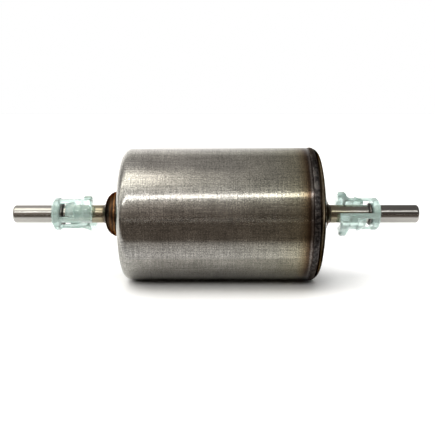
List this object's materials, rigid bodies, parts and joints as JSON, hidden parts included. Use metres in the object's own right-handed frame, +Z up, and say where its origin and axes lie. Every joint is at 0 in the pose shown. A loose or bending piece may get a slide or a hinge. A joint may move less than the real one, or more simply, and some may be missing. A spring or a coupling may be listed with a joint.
{
  "type": "fuel filter",
  "caption": "In-line fuel filter: a welded cylindrical steel can with a beaded tube at each end, each with a squeeze-to-release quick-connect clip.",
  "frame": {"origin": "centre of the bounding box, on the filter's long axis", "axes": "+X from the inlet tube's tip to the outlet tube's tip, +Z up with the can lying on its side"},
  "size_m": [0.1748, 0.0574, 0.0574],
  "materials": {
    "can_steel": "fine satin, bare, slightly mottled",
    "cap_steel": "satin, bare, heat tint near the weld",
    "weld_metal": "rippled, dark blue-grey heat tint",
    "collar_steel": "dark brown heat tint",
    "braze_metal": "dull, heat tinted",
    "tube_steel": "polished, bare",
    "clip_plastic": "translucent pale green moulding",
    "filter_paper": "resin-treated paper",
    "element_metal": "plain pressed steel",
    "potting_compound": "amber, matt",
    "seal_rubber": "black, matt",
    "spring_steel": "drawn wire"
  },
  "bodies": {
    "root": {"housing_can": "can_steel", "outlet_end_cap": "cap_steel", "rim_weld_bead": "weld_metal", "inlet_collar": "collar_steel", "outlet_collar": "collar_steel", "inlet_braze_ring": "braze_metal", "outlet_braze_ring": "braze_metal", "inlet_tube": "tube_steel", "outlet_tube": "tube_steel", "pleated_media": "filter_paper", "centre_tube": "element_metal", "blind_end_disc": "element_metal", "open_end_disc": "element_metal", "inlet_potting": "potting_compound", "outlet_potting": "potting_compound", "outlet_seal_ring": "seal_rubber", "element_spring": "spring_steel"},
    "inlet_clip": {"inlet_clip_ring": "clip_plastic"},
    "inlet_front_arm": {"inlet_clip_arm_front": "clip_plastic"},
    "inlet_rear_arm": {"inlet_clip_arm_rear": "clip_plastic"},
    "outlet_clip": {"outlet_clip_ring": "clip_plastic"},
    "outlet_lower_arm": {"outlet_clip_arm_lower": "clip_plastic"},
    "outlet_upper_arm": {"outlet_clip_arm_upper": "clip_plastic"}
  },
  "joints": [
    {"name": "inlet_clip_turn", "type": "hinge", "parent": "root", "child": "inlet_clip", "pos_m": [-0.0687, 0, 0], "axis": [1, 0, 0], "continuous": true},
    {"name": "inlet_front_arm_squeeze", "type": "hinge", "parent": "inlet_clip", "child": "inlet_front_arm", "pos_m": [-0.0671, -0.00371, 0.00197], "axis": [0, 0.4695, 0.8829], "range_deg": [0, 5], "stiffness_Nm_per_rad": 1.5},
    {"name": "inlet_rear_arm_squeeze", "type": "hinge", "parent": "inlet_clip", "child": "inlet_rear_arm", "pos_m": [-0.0671, 0.00371, -0.00197], "axis": [0, -0.4695, -0.8829], "range_deg": [0, 5], "stiffness_Nm_per_rad": 1.5},
    {"name": "outlet_clip_turn", "type": "hinge", "parent": "root", "child": "outlet_clip", "pos_m": [0.0687, 0, 0], "axis": [1, 0, 0], "continuous": true},
    {"name": "outlet_lower_arm_squeeze", "type": "hinge", "parent": "outlet_clip", "child": "outlet_lower_arm", "pos_m": [0.0671, -0.00317, -0.00276], "axis": [0, 0.6561, -0.7547], "range_deg": [0, 5], "stiffness_Nm_per_rad": 1.5},
    {"name": "outlet_upper_arm_squeeze", "type": "hinge", "parent": "outlet_clip", "child": "outlet_upper_arm", "pos_m": [0.0671, 0.00317, 0.00276], "axis": [0, -0.6561, 0.7547], "range_deg": [0, 5], "stiffness_Nm_per_rad": 1.5}
  ]
}
